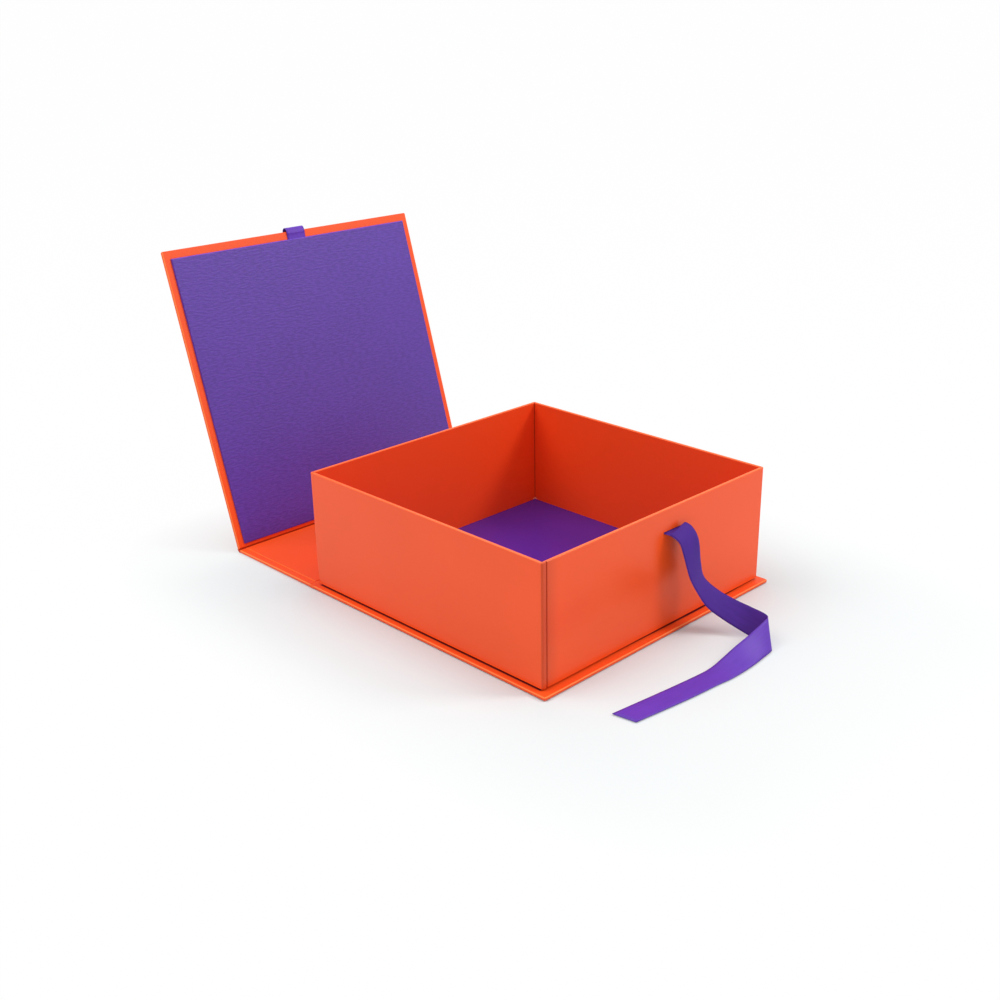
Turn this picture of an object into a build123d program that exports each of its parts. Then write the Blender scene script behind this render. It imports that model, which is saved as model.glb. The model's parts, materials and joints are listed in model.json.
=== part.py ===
from build123d import *
import os
from math import cos, radians, sin

# Folding gift box: a ribbon-tied tray glued into a case of base, spine and lid.
# Origin: middle of the tray's footprint, on the base panel's underside. Front wall toward -Y.

# Tray
tray_width = 200.0
tray_depth = 200.0
rim_height = 79.0
wall = 2.0
tray_bottom = 2.0
foot_height = 1.3
foot_inset = 5.0
corner_radius = 1.2
rim_radius = 0.5
seam_inset = 3.6
seam_width = 1.0
seam_depth = 0.8
relief_width = 3.0
relief_height = 0.9

# Case panels: base, spine and lid
panel = 2.0
side_overhang = 4.0
front_overhang = 5.5
lid_setback = 3.0
panel_corner_radius = 1.0
panel_edge_radius = 0.6
fold_slack = 0.2
spine_clearance = 0.2
rim_clearance = 0.2
fold_sink = 0.2
fold_hollow = 0.35
lid_fold_hollow = 0.9
lid_lean = 16.0

# Linings and the lid's pad
floor_lining = 0.6
wall_lining = 1.0
lining_gap = 0.3
lining_below_rim = 1.5
spine_lining = 0.3
spine_lining_inset = 5.0
pad_thickness = 1.4
pad_side_margin = 5.0
pad_front_margin = 5.5
pad_hinge_margin = 2.5
pad_edge_radius = 0.4

# Ribbons
ribbon_width = 15.0
ribbon_thickness = 0.5
ribbon_tail = 25.0
ribbon_gap = 0.1
slit_below_rim = 15.0
slit_x = 9.5
slit_gap = 0.5
ribbon_reach = 65.0
middle_share = 0.5
look_ahead_share = 0.01
lid_ribbon_x = 2.0
lid_ribbon_hang = 190.0
lid_ribbon_bow = 5.0
lid_ribbon_rise = 1.6
lid_ribbon_crest = 0.6
lid_ribbon_turn = 2.2

# Magnets
magnet_diameter = 10.0
magnet_thickness = 1.0
magnet_gap = 0.1
magnet_spacing = 120.0
magnet_below_rim = 9.0
magnet_from_pad_edge = 3.0

# How far a cutting body runs past the face it cuts
overrun = 1.0
right_angle = 90.0

# Sizes that follow from the values above
half_width = tray_width / 2
half_depth = tray_depth / 2
half_case = half_width + side_overhang
case_width = 2 * half_case
fold_gap = 2 * panel + fold_slack
closed_height = rim_height + rim_clearance + pad_thickness + panel
base_axis_y = half_depth + spine_clearance + spine_lining + panel
lid_axis_y = base_axis_y + closed_height
base_front_y = -half_depth - front_overhang
base_back_y = base_axis_y - fold_gap / 2
spine_start = base_axis_y + fold_gap / 2
spine_end = lid_axis_y - fold_gap / 2
lid_start = lid_axis_y + fold_gap / 2
lid_end = lid_axis_y + base_axis_y - base_front_y - lid_setback
pad_start = lid_start + pad_hinge_margin
pad_end = lid_end - pad_front_margin
cavity_z = panel + tray_bottom
floor_z = cavity_z + floor_lining
slit_z = rim_height - slit_below_rim
fold_fill = panel - fold_sink
inner_front_y = -half_depth + wall
slit_width = ribbon_width + 2 * slit_gap
tail_pocket = ribbon_thickness + ribbon_gap

os.makedirs("parts", exist_ok=True)


def save(node, shape):
    """Write one node's solid or solids."""
    export_step(shape, os.path.join("parts", node + ".step"))


def span_box(low, high):
    """Box between two opposite corners."""
    sizes = [top - bottom for bottom, top in zip(low, high)]
    return Pos(*low) * Box(*sizes, align=(Align.MIN, Align.MIN, Align.MIN))


def wrapped_board(start, end, free_end=None):
    """Case panel laid flat from one y to another: its wrap rounds the edges and the free corners."""
    board = span_box((-half_case, start, 0), (half_case, end, panel))
    if free_end is not None:
        corners = board.edges().filter_by(Axis.Z).group_by(Axis.Y)[free_end]
        board = fillet(corners, panel_corner_radius)
    rims = board.faces().sort_by(Axis.Z)[0].edges() + board.faces().sort_by(Axis.Z)[-1].edges()
    return fillet(rims, panel_edge_radius)


def fold_paper(outer, inner_points):
    """Pasted paper in a fold: its section has an outer line and hollow inner points."""
    corners = [outer @ 0, *inner_points, outer @ 1]
    inner = [Line(here, ahead) for here, ahead in zip(corners, corners[1:])]
    return extrude(make_face([outer, *inner]), case_width, dir=(1, 0, 0))


def lean_lid(shape):
    """Turn a piece modelled on the flat lid about the lid's fold, up to the resting lean."""
    return shape.rotate(Axis((0, lid_axis_y, 0), (1, 0, 0)), right_angle - lid_lean)


# Magnet disc and its pocket, both sunk below the plane they are placed on
sunk = (Align.CENTER, Align.CENTER, Align.MAX)
magnet = Cylinder(magnet_diameter / 2, magnet_thickness, align=sunk)
magnet_pocket = Cylinder(magnet_diameter / 2 + magnet_gap, magnet_thickness + magnet_gap, align=sunk)
magnet_xs = (-magnet_spacing / 2, magnet_spacing / 2)

# Base and spine panels, flat on the table
front_end = 0
save("base_panel", wrapped_board(base_front_y, base_back_y, front_end))
save("spine_panel", wrapped_board(spine_start, spine_end))

# Lid panel, with two magnet pockets that the pad covers
lid_magnet_y = pad_end - magnet_from_pad_edge - magnet_diameter / 2
far_end = -1
lid_panel = wrapped_board(lid_start, lid_end, far_end)
for magnet_x in magnet_xs:
    lid_panel -= Pos(magnet_x, lid_magnet_y, panel) * magnet_pocket
save("lid_panel", lean_lid(lid_panel))
lid_magnets = [Pos(magnet_x, lid_magnet_y, panel) * magnet for magnet_x in magnet_xs]
save("lid_magnets", Compound(children=[lean_lid(disc) for disc in lid_magnets]))

# Paper in the base fold, flat below and a little hollow on top
flat_outer = Line((-half_case, base_back_y, 0), (-half_case, spine_start, 0))
flat_inner = [
    (-half_case, base_back_y, fold_fill),
    (-half_case, base_axis_y, fold_fill - fold_hollow),
    (-half_case, spine_start, fold_fill),
]
save("base_hinge_paper", fold_paper(flat_outer, flat_inner))

# Paper in the lid's fold: outside an arc tangent to spine and lid, inside a sharp valley
fold_turn = radians(right_angle - lid_lean)
up_lid = Vector(0, cos(fold_turn), sin(fold_turn))
into_lid = Vector(0, -sin(fold_turn), cos(fold_turn))
lid_fold = Vector(-half_case, lid_axis_y, 0)
fold_from = Vector(-half_case, spine_end, 0)
fold_to = lid_fold + up_lid * (fold_gap / 2)
spine_inner = fold_from + Vector(0, 0, fold_fill)
lid_inner = fold_to + into_lid * fold_fill
valley = (spine_inner + lid_inner) / 2
valley += (lid_fold - valley).normalized() * lid_fold_hollow
bent_outer = TangentArc(fold_from, fold_to, tangent=(0, 1, 0))
save("lid_hinge_paper", fold_paper(bent_outer, [spine_inner, valley, lid_inner]))

# Lining sheet on the spine, inset from its wrapped sides
liner_half = half_case - spine_lining_inset
liner_low = (-liner_half, spine_start + panel_edge_radius, panel)
liner_high = (liner_half, spine_end - panel_edge_radius, panel + spine_lining)
save("spine_liner", span_box(liner_low, liner_high))

# Tray: one folded shell with rounded folds
tray = span_box((-half_width, -half_depth, panel), (half_width, half_depth, rim_height))
tray = fillet(tray.edges().filter_by(Axis.Z), corner_radius)
cavity_low = (-half_width + wall, inner_front_y, cavity_z)
cavity_high = (half_width - wall, half_depth - wall, rim_height + overrun)
tray -= span_box(cavity_low, cavity_high)
tray = fillet(tray.faces().sort_by(Axis.Z)[-1].edges(), rim_radius)

# Foot: the tray stands on a smaller bottom, which leaves a dark gap under its walls
foot_x = half_width - foot_inset
foot_y = half_depth - foot_inset
foot_top = panel + foot_height
foot = span_box((-foot_x, -foot_y, panel), (foot_x, foot_y, foot_top))
tray -= span_box((-half_case, -half_case, panel), (half_case, half_case, foot_top)) - foot

# Seam where the tray's blank is joined, a pressed line beside the front wall's left end
seam_vee = Polygon((-seam_width / 2, 0), (seam_width / 2, 0), (0, seam_depth), align=None)
seam = Pos(0, 0, panel - overrun) * extrude(seam_vee, rim_height - panel + 2 * overrun)
tray -= Pos(-half_width + seam_inset, -half_depth, 0) * seam

# Low gaps through the back corners, just above the floor lining
relief = Box(relief_width, 4 * wall, relief_height, align=(Align.CENTER, Align.CENTER, Align.MIN))
for side in (-1, 1):
    corner = Pos(side * (half_width - wall / 2), half_depth - wall / 2, floor_z)
    tray -= corner * Rot(0, 0, side * -right_angle / 2) * relief

# Slit for the front ribbon
slit_low_z = slit_z - slit_gap
slit_high_z = slit_z + ribbon_thickness + slit_gap
slit_low = (slit_x - slit_width / 2, -half_depth - overrun, slit_low_z)
slit_high = (slit_x + slit_width / 2, inner_front_y + overrun, slit_high_z)
tray -= span_box(slit_low, slit_high)

# Wall magnets, in pockets sunk into the front wall from inside
wall_magnet_z = rim_height - magnet_below_rim
into_wall = Rot(-right_angle, 0, 0)
wall_places = [Pos(magnet_x, inner_front_y, wall_magnet_z) * into_wall for magnet_x in magnet_xs]
for place in wall_places:
    tray -= place * magnet_pocket
save("tray", tray)
save("wall_magnets", Compound(children=[place * magnet for place in wall_places]))

# Floor lining card, and a lining card on the front wall that hides magnets and ribbon tail
lining_half = half_width - wall - lining_gap
floor_low = (-lining_half, inner_front_y + lining_gap, cavity_z)
floor_high = (lining_half, half_depth - wall - lining_gap, floor_z)
save("tray_floor_liner", span_box(floor_low, floor_high))

lining_low = (-lining_half, inner_front_y, floor_z)
lining_high = (lining_half, inner_front_y + wall_lining, rim_height - lining_below_rim)
pocket_low = (slit_x - slit_width / 2, inner_front_y - overrun, slit_z - ribbon_tail - slit_gap)
pocket_high = (slit_x + slit_width / 2, inner_front_y + tail_pocket, slit_high_z)
save("front_wall_lining", span_box(lining_low, lining_high) - span_box(pocket_low, pocket_high))

# Pad on the lid, hollowed on its hidden face for the lid ribbon's tail
pad_half = half_case - pad_side_margin
lid_pad = span_box((-pad_half, pad_start, panel), (pad_half, pad_end, panel + pad_thickness))
lid_pad = fillet(lid_pad.faces().sort_by(Axis.Z)[-1].edges(), pad_edge_radius)
hollow_low = (lid_ribbon_x - slit_width / 2, pad_end - ribbon_tail - slit_gap, panel - overrun)
hollow_high = (lid_ribbon_x + slit_width / 2, pad_end + overrun, panel + tail_pocket)
save("lid_pad", lean_lid(lid_pad - span_box(hollow_low, hollow_high)))

# Lid ribbon: from under the pad, round the lid's free edge and down the outer face
ribbon_side_x = lid_ribbon_x - ribbon_width / 2
hang_y = lid_end - lid_ribbon_hang


def lid_ribbon_side(offset):
    """Long side of the lid ribbon's section, a given way out from its inner face."""
    tail = (ribbon_side_x, pad_end - ribbon_tail, panel + offset)
    leaving = (ribbon_side_x, lid_end - lid_ribbon_turn, panel + offset)
    crest = (ribbon_side_x, lid_end + lid_ribbon_rise + offset, lid_ribbon_crest)
    turned = (ribbon_side_x, lid_end - lid_ribbon_turn, -lid_ribbon_turn - offset)
    bowed = (ribbon_side_x, (lid_end + hang_y) / 2, -lid_ribbon_bow - offset)
    hanging = (ribbon_side_x, hang_y, -lid_ribbon_bow / 2 - offset)
    return Line(tail, leaving), ThreePointArc(leaving, crest, turned), Spline(turned, bowed, hanging)


near_side = lid_ribbon_side(0)
far_side = lid_ribbon_side(ribbon_thickness)
ribbon_ends = [Line(near_side[0] @ 0, far_side[0] @ 0), Line(near_side[-1] @ 1, far_side[-1] @ 1)]
lid_ribbon_section = make_face([*near_side, *far_side, *ribbon_ends])
save("lid_ribbon", lean_lid(extrude(lid_ribbon_section, ribbon_width, dir=(1, 0, 0))))

# Front ribbon, stations along its lower edge from the slit to its free end on the table.
# Across in ribbon widths from the slit, out as a share of the reach, up as a share of the slit's height.
loop_edge_shares = (
    (0.0, 0.0, 1.0),
    (0.16, 0.055, 0.98),
    (0.31, 0.123, 0.915),
    (0.4, 0.16, 0.79),
    (0.6, 0.2, 0.58),
    (0.87, 0.245, 0.42),
    (1.2, 0.31, 0.265),
    (1.6, 0.415, 0.15),
    (1.95, 0.615, 0.045),
    (1.99, 0.8, 0.014),
    (1.82, 0.923, 0.01),
    (1.6, 0.955, 0.01),
    (1.0, 0.974, 0.01),
    (0.35, 0.989, 0.01),
    (-0.4, 0.995, 0.01),
    (-1.13, 0.99, 0.01),
    (-1.87, 0.97, 0.01),
    (-3.47, 0.932, 0.01),
    (-5.91, 0.852, 0.01),
)

# From the lower edge to the upper one, in ribbon widths along x, y and z. It is longer in the slanting fold.
loop_turn_shares = (
    (1.0, 0.0, 0.0),
    (0.9, 0.05, 0.31),
    (0.96, 0.12, 0.35),
    (0.98, 0.07, 0.4),
    (0.93, 0.2, 0.33),
    (0.89, 0.37, 0.27),
    (0.89, 0.19, 0.42),
    (0.81, 0.07, 0.58),
    (0.59, 0.23, 0.89),
    (0.5, 0.33, 0.98),
    (0.5, 0.56, 0.98),
    (0.37, 0.63, 0.96),
    (0.13, 0.75, 0.71),
    (-0.11, 0.87, 0.49),
    (0.0, 0.95, 0.27),
    (0.05, 0.99, 0.07),
    (0.07, 0.99, 0.0),
    (0.13, 0.99, 0.0),
    (-0.15, 0.99, 0.0),
)
slit_left = slit_x - ribbon_width / 2
lower_edge = [
    Vector(slit_left + ribbon_width * across, -half_depth - ribbon_reach * out, slit_z * up)
    for across, out, up in loop_edge_shares
]
upper_edge = [low + Vector(*turn) * ribbon_width for low, turn in zip(lower_edge, loop_turn_shares)]

# Both edges are splines that keep step with the middle line, and a ruled face runs between them
middle = [(low + high) / 2 for low, high in zip(lower_edge, upper_edge)]
steps = [0.0]
for here, ahead in zip(middle, middle[1:]):
    steps.append(steps[-1] + (ahead - here).length)
ribbon_face = Face.make_surface_from_curves(
    Edge.make_spline(lower_edge, parameters=steps), Edge.make_spline(upper_edge, parameters=steps)
)


def ribbon_section(share):
    """Flat cross-section of the front ribbon at a share of its free length, as a closed wire."""
    low = ribbon_face.position_at(share, 0)
    high = ribbon_face.position_at(share, 1)
    ahead = ribbon_face.position_at(min(share + look_ahead_share, 1), middle_share)
    behind = ribbon_face.position_at(max(share - look_ahead_share, 0), middle_share)
    lift = (ahead - behind).cross(high - low).normalized() * ribbon_thickness
    return Wire.make_polygon([low, high, high + lift, low + lift], close=True)


# The free ribbon is a loft through sections at each station and halfway to the next
station_shares = [step / steps[-1] for step in steps]
section_shares = []
for here, ahead in zip(station_shares, station_shares[1:]):
    section_shares += [(here + ahead) / 2, ahead]
slit_right = slit_left + ribbon_width
slit_corners = [(slit_left, slit_z), (slit_right, slit_z)]
slit_corners += [(x, z + ribbon_thickness) for x, z in reversed(slit_corners)]
sections = [Wire.make_polygon([(x, -half_depth, z) for x, z in slit_corners], close=True)]
sections += [ribbon_section(share) for share in section_shares]
front_ribbon = Solid.make_loft(sections, ruled=True)

# Its passage through the slit, and its tail glued down the wall's inner face
passage_low = (slit_left, -half_depth, slit_z)
tail_low = (slit_left, inner_front_y, slit_z - ribbon_tail)
tail_high = (slit_right, inner_front_y + ribbon_thickness, slit_z + ribbon_thickness)
save("front_ribbon", front_ribbon + span_box(passage_low, tail_high) + span_box(tail_low, tail_high))
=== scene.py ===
import json
import math
import bpy
from mathutils import Matrix, Vector
from mathutils.geometry import interpolate_bezier


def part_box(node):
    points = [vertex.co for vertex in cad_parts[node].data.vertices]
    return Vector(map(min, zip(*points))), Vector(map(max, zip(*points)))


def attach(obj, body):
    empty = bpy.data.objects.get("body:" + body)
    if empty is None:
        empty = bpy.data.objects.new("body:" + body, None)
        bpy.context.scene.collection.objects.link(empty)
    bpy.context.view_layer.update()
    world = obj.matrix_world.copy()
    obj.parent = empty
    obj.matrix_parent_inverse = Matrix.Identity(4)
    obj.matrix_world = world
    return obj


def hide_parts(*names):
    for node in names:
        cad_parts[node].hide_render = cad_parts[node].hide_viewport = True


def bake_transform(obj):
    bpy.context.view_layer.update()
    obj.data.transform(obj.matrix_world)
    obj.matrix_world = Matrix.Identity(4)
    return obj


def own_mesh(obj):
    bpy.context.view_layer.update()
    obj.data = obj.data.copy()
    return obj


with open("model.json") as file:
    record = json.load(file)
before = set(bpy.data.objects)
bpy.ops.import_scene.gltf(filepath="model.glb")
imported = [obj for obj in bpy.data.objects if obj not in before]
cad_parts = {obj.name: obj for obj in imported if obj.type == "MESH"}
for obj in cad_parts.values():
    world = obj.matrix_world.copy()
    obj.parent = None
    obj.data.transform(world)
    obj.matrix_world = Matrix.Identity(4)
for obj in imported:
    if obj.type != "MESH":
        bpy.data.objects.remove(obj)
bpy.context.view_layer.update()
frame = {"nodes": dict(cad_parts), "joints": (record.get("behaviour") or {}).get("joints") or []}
nodes = frame["nodes"]
joints = {joint["name"]: joint for joint in frame["joints"]}
scene = bpy.context.scene
MM = 0.001

base_low, base_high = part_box("base_panel")
spine_low, spine_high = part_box("spine_panel")
tray_low, tray_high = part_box("tray")

# Colours, linear
ORANGE = (0.93, 0.085, 0.008)
ORANGE_DEEP = (0.98, 0.056, 0.002)
PURPLE_PAD = (0.09, 0.029, 0.315)
PURPLE_FLOOR = (0.072, 0.02, 0.28)
RIBBON_SATIN = (0.12, 0.034, 0.42)
RIBBON_DULL = (0.074, 0.024, 0.26)
# Painted highlight, for paper edges and rims that catch the light
PAINTED_HIGHLIGHT = (1.0, 0.27, 0.06)
# Painted shade, for the gap under the tray and the tray's recessed foot
PAINTED_GAP_SHADE = (0.12, 0.004, 0.016)
MAGNET_GREY = (0.5, 0.5, 0.52)
FLOOR_WHITE = (0.685, 0.735, 0.745)
WHITE = (1.0, 1.0, 1.0)

# The lid's own axes at rest: along it from its fold, and in from its outer face
lid_fold = Vector(joints["lid_hinge"]["pos_m"])
lid_rise = math.radians(-joints["lid_hinge"]["range_deg"][0])
lid_along = Vector((0, math.cos(lid_rise), math.sin(lid_rise)))
lid_inward = Vector((0, -math.sin(lid_rise), math.cos(lid_rise)))


def on_lid(x, along, inward):
    """Point of the leaning lid, from its place on the lid laid flat."""
    return lid_fold + Vector((x, 0, 0)) + lid_along * along + lid_inward * inward


def placed(name, data):
    """New object in the scene."""
    thing = bpy.data.objects.new(name, data)
    scene.collection.objects.link(thing)
    return thing


def colour(value):
    """Plain colours get their alpha, and anything else stays as it is."""
    return (*value, 1.0) if isinstance(value, tuple) and len(value) == 3 else value


def tinted(base, factor):
    """Lighter or darker colour of the same hue."""
    return tuple(min(1.0, channel * factor) for channel in base)


# The range that most of a noise's values lie in, and how far gloss strays from its mean
NOISE_MIDDLE = (0.3, 0.7)
GLOSSIER = 0.04
DULLER = 0.05


class Tree:
    """The nodes of a material or world, made one at a time with their inputs."""

    def __init__(self, owner):
        owner.use_nodes = True
        self.owner = owner
        self.nodes = owner.node_tree.nodes
        self.links = owner.node_tree.links

    def add(self, kind, inputs=None, **settings):
        node = self.nodes.new("ShaderNode" + kind)
        for key, value in settings.items():
            setattr(node, key, value)
        for key, value in (inputs or {}).items():
            self.put(node.inputs[key], value)
        return node

    def put(self, socket, value):
        """Link a node or socket to an input, or set the input's value."""
        if isinstance(value, bpy.types.NodeSocket):
            self.links.new(value, socket)
        elif isinstance(value, bpy.types.Node):
            self.links.new(value.outputs[0], socket)
        else:
            socket.default_value = value

    def math(self, operation, first, second=0.0):
        return self.add("Math", {0: first, 1: second}, operation=operation).outputs[0]

    def times(self, first, second):
        return self.math("MULTIPLY", first, second)

    def vector(self, operation, first, second=(0, 0, 0)):
        return self.add("VectorMath", {0: first, 1: second}, operation=operation).outputs[0]

    def mix(self, share, first, second):
        node = self.add("Mix", data_type="RGBA")
        self.put(node.inputs["Factor"], share)
        self.put(node.inputs["A"], colour(first))
        self.put(node.inputs["B"], colour(second))
        return node.outputs["Result"]

    def place(self):
        return self.add("TexCoord").outputs["Object"]

    def scaled(self, place, scale):
        return self.add("Mapping", {"Vector": place, "Scale": scale}).outputs[0]

    def split(self, place):
        return self.add("SeparateXYZ", {"Vector": place}).outputs

    def noise(self, place, scale, detail=3.0, roughness=0.5):
        inputs = {"Vector": place, "Scale": scale, "Detail": detail, "Roughness": roughness}
        return self.add("TexNoise", inputs).outputs["Fac"]

    def ramp(self, value, low, high, out_low=0.0, out_high=1.0):
        inputs = {
            "Value": value,
            "From Min": low,
            "From Max": high,
            "To Min": out_low,
            "To Max": out_high,
        }
        return self.add("MapRange", inputs, clamp=True).outputs["Result"]

    def rise(self, value, face, band, share=1.0):
        """From nothing to a share, over a band given as two distances short of a face."""
        start, end = band
        return self.ramp(value, face - start, face - end, 0.0, share)

    def fall(self, value, face, band, share=1.0):
        """From a share to nothing, over a band given as two distances short of a face."""
        start, end = band
        return self.ramp(value, face - start, face - end, share, 0.0)

    def stretch(self, noise, out_low=0.0, out_high=1.0):
        """A noise's middle range, spread over another one."""
        return self.ramp(noise, *NOISE_MIDDLE, out_low, out_high)

    def shades(self, noise, base, dark, light):
        """A colour that wanders between two tints of a base."""
        return self.mix(self.stretch(noise), tinted(base, dark), tinted(base, light))

    def gloss(self, noise, rough):
        """Roughness that strays a little from its mean."""
        return self.stretch(noise, rough - GLOSSIER, rough + DULLER)

    def bump(self, height, strength, distance):
        inputs = {"Height": height, "Strength": strength, "Distance": distance}
        return self.add("Bump", inputs).outputs[0]

    def shade(self, **inputs):
        """Set the surface's inputs, and hand back the material."""
        surface = self.nodes["Principled BSDF"]
        for key, value in inputs.items():
            self.put(surface.inputs[key.replace("_", " ")], value)
        return self.owner

    def looking(self):
        """1 for rays that show a thing: the camera's, mirrored ones and ones passed through."""
        rays = self.add("LightPath").outputs
        mirrored = self.math("MAXIMUM", rays["Is Glossy Ray"], rays["Is Transmission Ray"])
        return self.math("MAXIMUM", rays["Is Camera Ray"], mirrored)

    def show(self, output, share, first, second):
        """Lead a mix of two shaders to the output."""
        mixed = self.add("MixShader", {0: share, 1: first, 2: second})
        self.put(self.nodes[output].inputs["Surface"], mixed)


def new_material(name):
    return Tree(bpy.data.materials.new(name))


def lid_place(tree, place):
    """Object coordinates turned into the flat lid's, so that patterns follow its edges."""
    turned = Matrix.Rotation(-lid_rise, 3, "X") @ lid_fold
    settings = {"Vector": place, "Rotation": (-lid_rise, 0, 0), "Location": -turned}
    return tree.add("Mapping", settings).outputs[0]


# Wrapping paper: the fineness of its noises, its fibres and its shine
PAPER_CLOUDS = 14.0
PAPER_FIBRES = 620.0
PAPER_SPECKS = 2600.0
FIBRE_MARKS = (0.35, 0.75)
FIBRE_TINT = 0.86
PAPER_RELIEF = 0.1 * MM
PAPER_SHINE = 0.36
ALONG_X = (0.12, 1.0, 1.0)
ALONG_XY = (0.15, 0.15, 1.0)


def paper(name, base, grain, rough, marks, lid=False):
    """Laminated wrapping paper: cloudy tone, faint drawn-out fibres, and a low fibre relief."""
    tree = new_material(name)
    place = tree.place()
    if lid:
        place = lid_place(tree, place)
    clouds = tree.noise(place, PAPER_CLOUDS, detail=2.0)
    fibres = tree.noise(tree.scaled(place, grain), PAPER_FIBRES, detail=4.0, roughness=0.6)
    specks = tree.noise(place, PAPER_SPECKS, detail=2.0)
    tone = tree.shades(clouds, base, dark=0.97, light=1.03)
    tone = tree.mix(tree.ramp(fibres, *FIBRE_MARKS, 0.0, marks), tone, tinted(base, FIBRE_TINT))
    height = tree.math("ADD", tree.times(fibres, 0.5), tree.times(specks, 0.5))
    relief = tree.bump(height, strength=0.06, distance=PAPER_RELIEF)
    gloss = tree.gloss(specks, rough)
    tree.shade(Roughness=gloss, Normal=relief, Specular_IOR_Level=PAPER_SHINE)
    return tree, place, tone, gloss


def plain_paper(name, base, grain, rough, marks):
    """Wrapping paper with no wear."""
    tree, _, tone, _ = paper(name, base, grain, rough, marks)
    return tree.shade(Base_Color=tone)


# Case: bands in from the boards' faces, and painted shade in the gap under the tray,
# more at the tray's sides and, along its front and back, more towards the ribbon
SIDE_HIGHLIGHT = (0.8 * MM, 0.5 * MM)
TOP_HIGHLIGHT = (0.6 * MM, 0.35 * MM)
EDGE_HIGHLIGHT = 0.7
GAP_SHADE_BAND = (2.4 * MM, 1.6 * MM)
GAP_SHADE_TOP = (0.4 * MM, 0.2 * MM)
GAP_SHADE_AT_SIDES = 1.9 * MM
GAP_SHADE_AT_RIBBON = 2.2 * MM
GAP_SHADE_GROWS = (-70.0 * MM, 30.0 * MM)
GAP_SHADE_SHRINKS = (40.0 * MM, 90.0 * MM)
GAP_SHADE_SHRUNK = 0.3


def case_cover(name, half, board, lid=False):
    """The case's paper, with a painted highlight where it turns over the boards' sides.

    The base has painted shade in the gap under the tray.
    """
    tree, place, tone, _ = paper(name, ORANGE, ALONG_X, rough=0.5, marks=0.05, lid=lid)
    split = tree.split(place)
    side = tree.math("ABSOLUTE", split["X"])
    sides = tree.rise(side, half, SIDE_HIGHLIGHT)
    if not lid:
        forward = tree.times(split["Y"], -1.0)
        sides = tree.math("MAXIMUM", sides, tree.rise(forward, -base_low.y, SIDE_HIGHLIGHT))
        more = tree.times(
            tree.ramp(split["X"], *GAP_SHADE_GROWS, 0.0, GAP_SHADE_AT_RIBBON),
            tree.ramp(split["X"], *GAP_SHADE_SHRINKS, 1.0, GAP_SHADE_SHRUNK),
        )
        from_sides = tree.math("SUBTRACT", side, GAP_SHADE_AT_SIDES)
        from_ends = tree.math("SUBTRACT", tree.math("ABSOLUTE", split["Y"]), more)
        outward = tree.math("MAXIMUM", from_sides, from_ends)
        # Painted shade in the gap under the tray
        shade_under_tray = tree.fall(outward, tray_high.x, GAP_SHADE_BAND)
        upper = tree.rise(split["Z"], board, GAP_SHADE_TOP)
        tone = tree.mix(tree.times(shade_under_tray, upper), tone, PAINTED_GAP_SHADE)
    # Painted highlight where the paper turns over the boards' edges
    top = tree.rise(split["Z"], board, TOP_HIGHLIGHT)
    edge_highlight = tree.times(tree.times(sides, top), EDGE_HIGHLIGHT)
    return tree.shade(Base_Color=tree.mix(edge_highlight, tone, PAINTED_HIGHLIGHT))


# Tray: bands in from its faces or out from its seam, and the share of each tone there
RIM_BAND = (0.6 * MM, 0.25 * MM)
RIM_HIGHLIGHT = 0.85
RIM_INNER = (0.6 * MM, 1.1 * MM)
RIM_OUTER_SHARE = 0.3
FRONT_FACE = (1.0 * MM, 0.9 * MM)
SEAM_INSET = 3.6 * MM
SEAM_SHADE_WIDTH = 9.0 * MM
SEAM_SHADE = 0.32
CORNER_STRIP_BAND = (0.6 * MM, 0.3 * MM)
CORNER_STRIP_SHARE = 0.6
SEAM_LINE = (0.2 * MM, 0.6 * MM)
SEAM_LINE_SHADE = 0.6
INNER_CORNER = (2.7 * MM, 2.1 * MM)
INNER_CORNER_SHADE = 0.6
INSIDE = (1.2 * MM, 0.8 * MM)
INSIDE_DEPTH = 0.6
INSIDE_DULLER = 0.3
FOOT_TOP = (1.2 * MM, 1.35 * MM)
SEAM_PAINTED_SHADE = tinted(ORANGE, 0.35)
CORNER_STRIP_TONE = tinted(ORANGE, 0.66)
SEAM_LINE_TONE = tinted(ORANGE_DEEP, 0.4)
INNER_CORNER_PAINTED_SHADE = tinted(ORANGE, 0.2)


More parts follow.
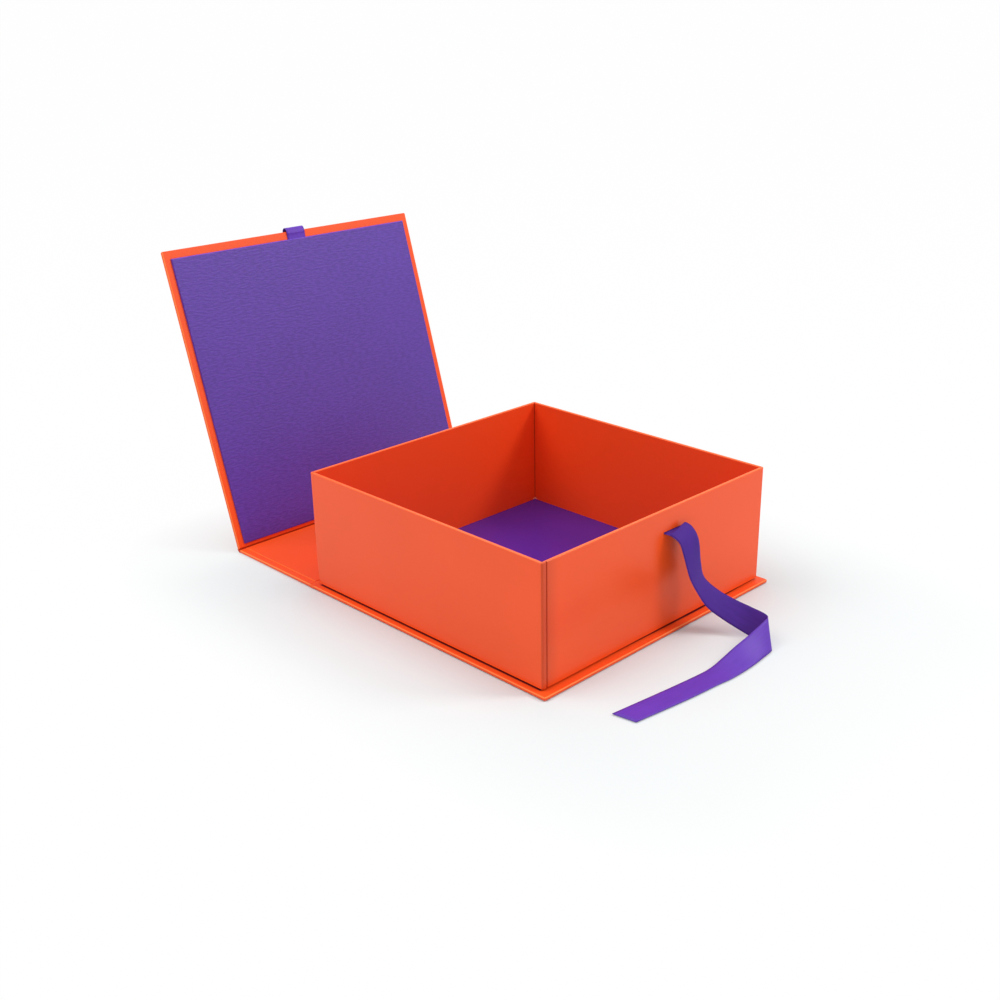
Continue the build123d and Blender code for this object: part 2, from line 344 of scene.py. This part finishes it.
def tray_cover(low, high, seam_x):
    """The tray's paper, with a painted highlight along the rim, and deeper and duller inside.

    It is darker at the seam line and between the seam and the corner, with painted shade beside the
    seam, in the inner corners and on the foot.
    """
    tree, place, tone, gloss = paper("tray_paper", ORANGE, ALONG_XY, rough=0.27, marks=0.1)
    split = tree.split(place)
    side = tree.math("ABSOLUTE", split["X"])
    depth = tree.math("ABSOLUTE", split["Y"])

    from_side = tree.math("SUBTRACT", high.x, side)
    from_end = tree.math("SUBTRACT", high.y, depth)
    inward = tree.math("MINIMUM", from_side, from_end)
    # Painted highlight along the rim
    rim = tree.rise(split["Z"], high.z, RIM_BAND, RIM_HIGHLIGHT)
    rim = tree.times(rim, tree.ramp(inward, *RIM_INNER, RIM_OUTER_SHARE, 1.0))
    tone = tree.mix(rim, tone, PAINTED_HIGHLIGHT)

    from_seam = tree.math("ABSOLUTE", tree.math("SUBTRACT", split["X"], seam_x))
    in_front = tree.rise(tree.times(split["Y"], -1.0), -low.y, FRONT_FACE)
    # Painted shade beside the seam on the front wall
    shade = tree.ramp(from_seam, 0.0, SEAM_SHADE_WIDTH, SEAM_SHADE, 0.0)
    # Darker strip between the front wall's corner and its seam
    corner_strip = tree.fall(split["X"], seam_x, CORNER_STRIP_BAND, CORNER_STRIP_SHARE)
    line = tree.ramp(from_seam, *SEAM_LINE, SEAM_LINE_SHADE, 0.0)
    tone = tree.mix(tree.times(shade, in_front), tone, SEAM_PAINTED_SHADE)
    tone = tree.mix(tree.times(corner_strip, in_front), tone, CORNER_STRIP_TONE)
    tone = tree.mix(tree.times(line, in_front), tone, SEAM_LINE_TONE)

    # Painted shade in the inner corners
    corner_x = tree.rise(side, high.x, INNER_CORNER)
    corner_y = tree.rise(depth, high.y, INNER_CORNER)
    corner = tree.times(tree.times(corner_x, corner_y), INNER_CORNER_SHADE)
    inside = tree.times(tree.fall(side, high.x, INSIDE), tree.fall(depth, high.y, INSIDE))
    tone = tree.mix(tree.times(inside, INSIDE_DEPTH), tone, ORANGE_DEEP)
    tone = tree.mix(tree.times(corner, inside), tone, INNER_CORNER_PAINTED_SHADE)

    # Painted shade on the tray's recessed foot
    foot_start, foot_end = FOOT_TOP
    foot_shade = tree.ramp(split["Z"], low.z + foot_start, low.z + foot_end, 1.0, 0.0)
    tone = tree.mix(foot_shade, tone, PAINTED_GAP_SHADE)
    gloss = tree.math("ADD", gloss, tree.times(inside, INSIDE_DULLER))
    return tree.shade(Base_Color=tone, Roughness=gloss)


LINING_EDGE = (0.7 * MM, 0.3 * MM)
LINING_EDGE_HIGHLIGHT = 0.5


def spine_lining(half):
    """Lining sheet on the spine, with a painted highlight along its side edges."""
    tree, place, tone, _ = paper("spine_lining", ORANGE, ALONG_X, rough=0.5, marks=0.05)
    side = tree.math("ABSOLUTE", tree.split(place)["X"])
    edge = tree.rise(side, half, LINING_EDGE, LINING_EDGE_HIGHLIGHT)
    return tree.shade(Base_Color=tree.mix(edge, tone, PAINTED_HIGHLIGHT))


# Pad: its far edge along the lid, which has a painted highlight, and its laid pattern
PAD_FACE = 3.4 * MM
pad_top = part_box("lid_pad")[1].z - lid_fold.z
pad_far = (pad_top - PAD_FACE * lid_inward.z) / lid_along.z
PAD_EDGE = (0.7 * MM, 0.35 * MM)
PAD_EDGE_HIGHLIGHT = 0.5
PAD_CLOUDS = 18.0
PAD_FIBRES = 1500.0
PAD_GRAIN = (0.28, 1.0, 1.0)
LAID_LINES = 880.0
LAID_RANGE = (0.38, 0.64)
LAID_LIGHT = 0.55
LAID_TONE = tinted(PURPLE_PAD, 1.35)
PAD_EDGE_HIGHLIGHT_TONE = tinted(PURPLE_PAD, 2.2)
FIBRE_HEIGHT = 0.6
PAD_RELIEF = 0.2 * MM
PAD_GLOSS = (0.42, 0.52)
PAD_SHINE = 0.4


def pad_card():
    """Purple card with a fine, wavy and broken laid pattern along the lid's width."""
    tree = new_material("pad_card")
    place = lid_place(tree, tree.place())
    drawn = tree.scaled(place, PAD_GRAIN)
    laid = tree.ramp(tree.noise(drawn, LAID_LINES, detail=2.0), *LAID_RANGE)
    fibres = tree.noise(drawn, PAD_FIBRES, roughness=0.6)
    clouds = tree.noise(place, PAD_CLOUDS, detail=2.0)
    tone = tree.shades(clouds, PURPLE_PAD, dark=0.86, light=0.95)
    tone = tree.mix(tree.times(laid, LAID_LIGHT), tone, LAID_TONE)
    # Painted highlight along the pad's far edge
    edge = tree.rise(tree.split(place)["Y"], pad_far, PAD_EDGE, PAD_EDGE_HIGHLIGHT)
    tone = tree.mix(edge, tone, PAD_EDGE_HIGHLIGHT_TONE)
    height = tree.math("ADD", laid, tree.times(fibres, FIBRE_HEIGHT))
    relief = tree.bump(height, strength=0.26, distance=PAD_RELIEF)
    gloss = tree.stretch(fibres, *PAD_GLOSS)
    return tree.shade(Base_Color=tone, Roughness=gloss, Normal=relief, Specular_IOR_Level=PAD_SHINE)


CARD_CLOUDS = 16.0
CARD_FIBRES = 900.0
CARD_MARKS = (0.4, 0.8)
CARD_MARK_SHADE = 0.2
CARD_MARK_TONE = tinted(PURPLE_FLOOR, 0.8)
CARD_RELIEF = 0.1 * MM
CARD_GLOSS = (0.07, 0.13)
CARD_SHINE = 0.25


def floor_card():
    """Smooth purple card on the tray's floor, slightly glossy."""
    tree = new_material("floor_card")
    place = tree.place()
    clouds = tree.noise(place, CARD_CLOUDS, detail=2.0)
    fibres = tree.noise(place, CARD_FIBRES, roughness=0.6)
    tone = tree.shades(clouds, PURPLE_FLOOR, dark=0.94, light=1.05)
    tone = tree.mix(tree.ramp(fibres, *CARD_MARKS, 0.0, CARD_MARK_SHADE), tone, CARD_MARK_TONE)
    relief = tree.bump(fibres, strength=0.06, distance=CARD_RELIEF)
    gloss = tree.stretch(fibres, *CARD_GLOSS)
    return tree.shade(Base_Color=tone, Roughness=gloss, Normal=relief, Specular_IOR_Level=CARD_SHINE)


RIBBON_WIDTH = 15.0 * MM
SELVEDGE = (0.9 * MM, 0.5 * MM)
SELVEDGE_SHADE = 0.35
SELVEDGE_TINT = 0.7
WEFT_THREADS = 520.0
SATIN_STREAKS = 900.0
STREAK_GRAIN = (1.0, 0.06, 1.0)
WEAVE_RELIEF = 0.1 * MM


def ribbon_cloth(name, base, rough, shine):
    """Woven ribbon: fine threads across it, long streaks, and a firmer woven edge."""
    tree = new_material(name)
    place = tree.add("UVMap").outputs["UV"]
    middle = RIBBON_WIDTH / 2
    across = tree.math("SUBTRACT", tree.split(place)["X"], middle)
    edge = tree.rise(tree.math("ABSOLUTE", across), middle, SELVEDGE)
    threads = {"Vector": place, "Scale": WEFT_THREADS, "Distortion": 0.6, "Detail": 1.0}
    weft = tree.add("TexWave", threads, bands_direction="Y").outputs["Fac"]
    streaks = tree.noise(tree.scaled(place, STREAK_GRAIN), SATIN_STREAKS, roughness=0.6)
    tone = tree.shades(streaks, base, dark=0.9, light=1.08)
    tone = tree.mix(tree.times(edge, SELVEDGE_SHADE), tone, tinted(base, SELVEDGE_TINT))
    height = tree.math("ADD", tree.times(weft, 0.5), edge)
    relief = tree.bump(height, strength=0.25, distance=WEAVE_RELIEF)
    gloss = tree.gloss(streaks, rough)
    return tree.shade(Base_Color=tone, Roughness=gloss, Normal=relief, Specular_IOR_Level=shine)


METAL_GRAIN = 1800.0
METAL_TONES = (tinted(MAGNET_GREY, 0.85), tinted(MAGNET_GREY, 1.1))
METAL_GLOSS = (0.3, 0.42)


def magnet_metal():
    """Plated metal with a fine grain."""
    tree = new_material("magnet_metal")
    grain = tree.noise(tree.place(), METAL_GRAIN)
    tone = tree.mix(grain, *METAL_TONES)
    return tree.shade(Base_Color=tone, Roughness=tree.stretch(grain, *METAL_GLOSS), Metallic=1.0)


# Painted shade: the lid's fold paper is a darker copy of the orange
FOLD_PAINTED_SHADE = tinted(ORANGE, 0.6)
case_paper = case_cover("case_paper", base_high.x, base_high.z)
fold_paper_painted_shade = plain_paper("fold_paper_painted_shade", FOLD_PAINTED_SHADE, ALONG_X, rough=0.55, marks=0.1)
metal = magnet_metal()
covers = {
    "base_panel": case_paper,
    "spine_panel": case_paper,
    "spine_liner": spine_lining(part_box("spine_liner")[1].x),
    "lid_panel": case_cover("lid_paper", base_high.x, base_high.z, lid=True),
    "tray": tray_cover(tray_low, tray_high, tray_low.x + SEAM_INSET),
    "front_wall_lining": plain_paper("lining_paper", ORANGE_DEEP, ALONG_XY, rough=0.46, marks=0.12),
    "tray_floor_liner": floor_card(),
    "lid_pad": pad_card(),
    "lid_magnets": metal,
    "wall_magnets": metal,
}
for node, material in covers.items():
    mesh = nodes[node].data
    mesh.materials.clear()
    mesh.materials.append(material)

satin = ribbon_cloth("ribbon_satin", RIBBON_SATIN, rough=0.46, shine=0.26)
dull = ribbon_cloth("ribbon_dull", RIBBON_DULL, rough=0.6, shine=0.1)


def smooth_line(points, per_span):
    """Points along a smooth curve through the given ones."""
    ends = [points[0] * 2 - points[1], *points, points[-1] * 2 - points[-2]]
    line = []
    for before, here, ahead, after in zip(ends, ends[1:], ends[2:], ends[3:]):
        leave = here + (ahead - before) / 6
        arrive = ahead - (after - here) / 6
        line += interpolate_bezier(here, leave, arrive, ahead, per_span + 1)[:-1]
    return line + [points[-1]]


def strip_mesh(name, left, right, thickness, across, faces):
    """Closed ribbon between two edge lines: one face each side, each with its own material."""
    rows = []
    lengths = [0.0]
    for count, (a, b) in enumerate(zip(left, right)):
        behind = max(count - 1, 0)
        ahead = min(count + 1, len(left) - 1)
        forward = (left[ahead] + right[ahead]) - (left[behind] + right[behind])
        lift = (b - a).cross(forward).normalized() * (thickness / 2)
        rows.append((a, b, lift))
        if count:
            step = ((a + b) - (left[behind] + right[behind])).length / 2
            lengths.append(lengths[-1] + step)
    width = (right[0] - left[0]).length
    vertices = []
    uvs = []
    for side in (1, -1):
        for (a, b, lift), length in zip(rows, lengths):
            for column in range(across + 1):
                share = column / across
                vertices.append(a.lerp(b, share) + lift * side)
                uvs.append((share * width, length))
    row = across + 1
    half = len(rows) * row
    polygons = []
    slots = []
    for station in range(len(rows) - 1):
        for column in range(across):
            corner = station * row + column
            quad = (corner, corner + 1, corner + row + 1, corner + row)
            polygons.append(quad)
            slots.append(0)
            polygons.append(tuple(half + index for index in reversed(quad)))
            slots.append(1)
        for column, order in ((0, 1), (across, -1)):
            corner = station * row + column
            quad = (corner, corner + row, half + corner + row, half + corner)
            polygons.append(quad[::order])
            slots.append(0)
    for station, order in ((0, -1), (len(rows) - 1, 1)):
        for column in range(across):
            corner = station * row + column
            quad = (corner, corner + 1, half + corner + 1, half + corner)
            polygons.append(quad[::order])
            slots.append(0)
    mesh = bpy.data.meshes.new(name)
    mesh.from_pydata(vertices, [], polygons)
    layer = mesh.uv_layers.new(name="UVMap")
    for loop in mesh.loops:
        layer.data[loop.index].uv = uvs[loop.vertex_index]
    for material in faces:
        mesh.materials.append(material)
    mesh.polygons.foreach_set("material_index", slots)
    mesh.polygons.foreach_set("use_smooth", [True] * len(polygons))
    mesh.update()
    return placed(name, mesh)


RIBBON_THICKNESS = 0.4 * MM
RIBBON_ACROSS = 10
RIBBON_PER_SPAN = 10


def ribbon(name, left, right):
    """Ribbon, satin on one face and dull on the other, through points of its two edges."""
    left_line = smooth_line(left, RIBBON_PER_SPAN)
    right_line = smooth_line(right, RIBBON_PER_SPAN)
    return strip_mesh(name, left_line, right_line, RIBBON_THICKNESS, RIBBON_ACROSS, (satin, dull))


# Front ribbon, in mm: its two edges, from the tail behind the wall to the free end
WALL_FACE = -100.0
TAIL_FACE = WALL_FACE + 2.25
SLIT_LEFT = 2.0
SLIT_RIGHT = 17.0
SLIT_Z = 64.25
TAIL = 25.0
front_stations = (
    ((SLIT_LEFT, TAIL_FACE, SLIT_Z - TAIL), (SLIT_RIGHT, TAIL_FACE, SLIT_Z - TAIL)),
    ((SLIT_LEFT, TAIL_FACE, SLIT_Z - 4), (SLIT_RIGHT, TAIL_FACE, SLIT_Z - 4)),
    ((SLIT_LEFT, WALL_FACE + 1.6, SLIT_Z - 0.1), (SLIT_RIGHT, WALL_FACE + 1.6, SLIT_Z - 0.1)),
    ((SLIT_LEFT, WALL_FACE, SLIT_Z), (SLIT_RIGHT, WALL_FACE, SLIT_Z)),
    ((3.0, -101.7, 63.8), (16.8, -101.3, 64.7)),
    ((4.4, -103.6, 62.8), (17.9, -102.8, 67.4)),
    ((6.6, -108.0, 58.8), (21.0, -106.2, 64.0)),
    ((8.0, -110.5, 50.5), (22.8, -109.4, 56.5)),
    ((11.0, -113.0, 37.0), (24.9, -110.0, 41.9)),
    ((15.0, -116.0, 27.0), (28.4, -110.5, 31.0)),
    ((20.0, -120.0, 17.0), (33.3, -117.1, 23.3)),
    ((26.0, -127.0, 9.5), (38.2, -125.9, 18.2)),
    ((31.3, -140.0, 2.6), (40.2, -136.5, 16.0)),
    ((31.8, -152.0, 0.6), (39.3, -147.0, 15.6)),
    ((29.3, -160.0, 0.4), (36.9, -151.5, 15.3)),
    ((26.0, -162.1, 0.4), (31.5, -152.6, 15.0)),
    ((17.0, -163.3, 0.4), (18.9, -152.0, 11.2)),
    ((7.2, -164.3, 0.4), (5.5, -151.3, 8.0)),
    ((-4.0, -164.7, 0.4), (-4.0, -150.4, 4.6)),
    ((-15.0, -164.4, 0.4), (-14.2, -149.6, 1.6)),
    ((-26.0, -163.0, 0.4), (-25.0, -148.1, 0.4)),
    ((-50.0, -160.6, 0.4), (-48.0, -145.7, 0.4)),
    ((-86.7, -155.4, 0.4), (-88.9, -140.6, 0.4)),
)
front_lower = [Vector(lower) * MM for lower, upper in front_stations]
front_upper = [Vector(upper) * MM for lower, upper in front_stations]
front_ribbon = ribbon("front_ribbon_cloth", front_lower, front_upper)
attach(front_ribbon, "base")
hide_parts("front_ribbon")

# Lid ribbon, from under the pad, over the lid's free edge and down its outer face.
# Its route in mm: past the free edge, and in from the outer face.
LID_RIBBON_LEFT = -5.5 * MM
LID_RIBBON_ROUTE = (
    (-30.5, 2.3),
    (-6.0, 2.3),
    (-1.6, 2.8),
    (1.5, 2.0),
    (1.9, -0.2),
    (-1.0, -2.2),
    (-12.0, -3.4),
    (-60.0, -5.0),
    (-110.0, -4.8),
    (-155.0, -3.4),
    (-190.0, -2.8),
)
lid_length = (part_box("lid_panel")[1].z - lid_fold.z) / lid_along.z
lid_left = [
    on_lid(LID_RIBBON_LEFT, lid_length + past * MM, inward * MM)
    for past, inward in LID_RIBBON_ROUTE
]
lid_right = [point + Vector((RIBBON_WIDTH, 0, 0)) for point in lid_left]
lid_ribbon = ribbon("lid_ribbon_cloth", lid_left, lid_right)
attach(lid_ribbon, "lid")
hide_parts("lid_ribbon")
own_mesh(lid_ribbon)


def fold_strip(name, outer, inner, material):
    """Pasted paper in a fold: a closed strip across the case, between two lines of its section."""
    half = spine_high.x
    count = len(outer)
    vertices = [point + Vector((x, 0, 0)) for x in (-half, half) for point in (*outer, *inner)]
    far = 2 * count
    polygons = [(0, count, far + count, far), (count - 1, far + count - 1, far + far - 1, far - 1)]
    for step in range(count - 1):
        above = count + step
        polygons.append((step, step + 1, far + step + 1, far + step)[::-1])
        polygons.append((above, above + 1, far + above + 1, far + above))
        polygons.append((step, above, above + 1, step + 1)[::-1])
        polygons.append((far + step, far + above, far + above + 1, far + step + 1))
    mesh = bpy.data.meshes.new(name)
    mesh.from_pydata(vertices, [], polygons)
    mesh.materials.append(material)
    return placed(name, mesh)


# Papers in the two folds, nearly flush with the boards beside them
FOLD_STEPS = 12
FOLD_LIFT = 0.05 * MM
FOLD_TOP = 1.8 * MM
FOLD_DIP = 0.35 * MM
LID_FOLD_DIP = 0.9 * MM
LID_FOLD_ROUND = 0.6
fold_shares = [step / FOLD_STEPS for step in range(FOLD_STEPS + 1)]

fold_gap = spine_low.y - base_high.y
base_outer = [Vector((0, base_high.y + fold_gap * share, FOLD_LIFT)) for share in fold_shares]
base_inner = [
    point + Vector((0, 0, FOLD_TOP - FOLD_DIP * math.sin(math.pi * share)))
    for point, share in zip(base_outer, fold_shares)
]
base_strip = fold_strip("base_hinge_strip", base_outer, base_inner, case_paper)
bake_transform(base_strip)
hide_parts("base_hinge_paper")

fold_half = lid_fold.y - spine_high.y
spine_side = lid_fold - Vector((0, fold_half, 0))
lid_side = lid_fold + lid_along * fold_half
lid_outer = interpolate_bezier(
    spine_side,
    spine_side.lerp(lid_fold, LID_FOLD_ROUND),
    lid_side.lerp(lid_fold, LID_FOLD_ROUND),
    lid_side,
    FOLD_STEPS + 1,
)
spine_inner = spine_side + Vector((0, 0, FOLD_TOP))
lid_inner = lid_side + lid_inward * FOLD_TOP
toward_fold = (lid_fold - (spine_inner + lid_inner) / 2).normalized()
lid_inner_line = [
    spine_inner.lerp(lid_inner, share) + toward_fold * (LID_FOLD_DIP * math.sin(math.pi * share))
    for share in fold_shares
]
lid_strip = fold_strip("lid_hinge_strip", lid_outer, lid_inner_line, fold_paper_painted_shade)
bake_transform(lid_strip)
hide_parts("lid_hinge_paper")

# Floor: white, fading into the white surroundings away from the base, sooner at its sides
FLOOR_LEVEL = -0.45 * MM
FLOOR_REACH = 40.0
FLOOR_CORNERS = ((-1, -1), (1, -1), (1, 1), (-1, 1))
FADE_END = 0.17
FADE_MOST = 0.985
FADE_SPEED = (1.7, 1.0, 1.0)
floor_mesh = bpy.data.meshes.new("floor")
floor_mesh.from_pydata(
    [(x * FLOOR_REACH, y * FLOOR_REACH, FLOOR_LEVEL) for x, y in FLOOR_CORNERS], [], [(0, 1, 2, 3)]
)
floor = placed("floor", floor_mesh)
ground = new_material("floor_white")
ground.shade(Base_Color=colour(FLOOR_WHITE), Roughness=0.9, Specular_IOR_Level=0.1)
foot_middle = (Vector(base_low) + Vector(base_high)) / 2
foot_half = (Vector(base_high) - Vector(base_low)) / 2
beside = ground.vector("SUBTRACT", ground.place(), foot_middle)
beside = ground.vector("ABSOLUTE", beside)
beside = ground.vector("SUBTRACT", beside, foot_half)
beside = ground.vector("MAXIMUM", beside)
beside = ground.vector("MULTIPLY", beside, FADE_SPEED)
away = ground.add("VectorMath", {0: beside}, operation="LENGTH").outputs["Value"]
fade = ground.times(ground.ramp(away, 0.0, FADE_END, 0.0, FADE_MOST), ground.looking())
white = ground.add("Emission", {"Color": colour(WHITE), "Strength": 1.0})
ground.show("Material Output", fade, ground.nodes["Principled BSDF"], white)
floor_mesh.materials.append(ground.owner)

# White surroundings: white where they are seen, softer as a light
WORLD_LIGHT = 0.6
WORLD_SEEN = 1.0
sky = Tree(bpy.data.worlds.new("studio"))
scene.world = sky.owner
lighting = sky.nodes["Background"]
sky.put(lighting.inputs["Color"], colour(WHITE))
sky.put(lighting.inputs["Strength"], WORLD_LIGHT)
seen = sky.add("Background", {"Color": colour(WHITE), "Strength": WORLD_SEEN})
sky.show("World Output", sky.looking(), lighting, seen)

# Square soft lights: name, place, target, size and power
SOFT_BOXES = (
    ("left_light", (-0.8, 0.55, 1.2), (0, 0.05, 0.05), 1.0, 9.0),
    ("right_light", (0.8, -0.9, 1.0), (0, 0, 0.05), 0.4, 8.0),
    ("top_light", (0.05, -0.15, 1.5), (0, 0, 0.05), 0.9, 6.0),
)
for name, place, target, size, power in SOFT_BOXES:
    light = bpy.data.lights.new(name, "AREA")
    light.shape = "SQUARE"
    light.size = size
    light.energy = power
    lamp = placed(name, light)
    lamp.location = place
    lamp.rotation_euler = (Vector(target) - Vector(place)).to_track_quat("-Z", "Y").to_euler()

# Camera, as the photograph was taken: turned and tilted in degrees
CAMERA_PLACE = Vector((-544.4, -529.2, 360.5)) * MM
CAMERA_TURN = 45.92
CAMERA_RISE = 22.93
CAMERA_ROLL = -0.33
CAMERA_LENS = 46.77
CAMERA_SENSOR = 36.0
CAMERA_SHIFT = (-0.0402, 0.0282)
CAMERA_CLIP = (0.01, 100.0)
turn, rise, roll = (math.radians(angle) for angle in (CAMERA_TURN, CAMERA_RISE, CAMERA_ROLL))
back = Vector((-math.sin(turn) * math.cos(rise), -math.cos(turn) * math.cos(rise), math.sin(rise)))
level = (-back).cross(Vector((0, 0, 1))).normalized()
above = level.cross(-back)
right = level * math.cos(roll) + above * math.sin(roll)
up = above * math.cos(roll) - level * math.sin(roll)
lens = bpy.data.cameras.new("camera")
lens.lens = CAMERA_LENS
lens.sensor_width = CAMERA_SENSOR
lens.shift_x, lens.shift_y = CAMERA_SHIFT
lens.clip_start, lens.clip_end = CAMERA_CLIP
camera = placed("camera", lens)
camera.matrix_world = Matrix(
    (
        (right.x, up.x, back.x, CAMERA_PLACE.x),
        (right.y, up.y, back.y, CAMERA_PLACE.y),
        (right.z, up.z, back.z, CAMERA_PLACE.z),
        (0, 0, 0, 1),
    )
)
scene.camera = camera
scene.view_settings.view_transform = "Standard"
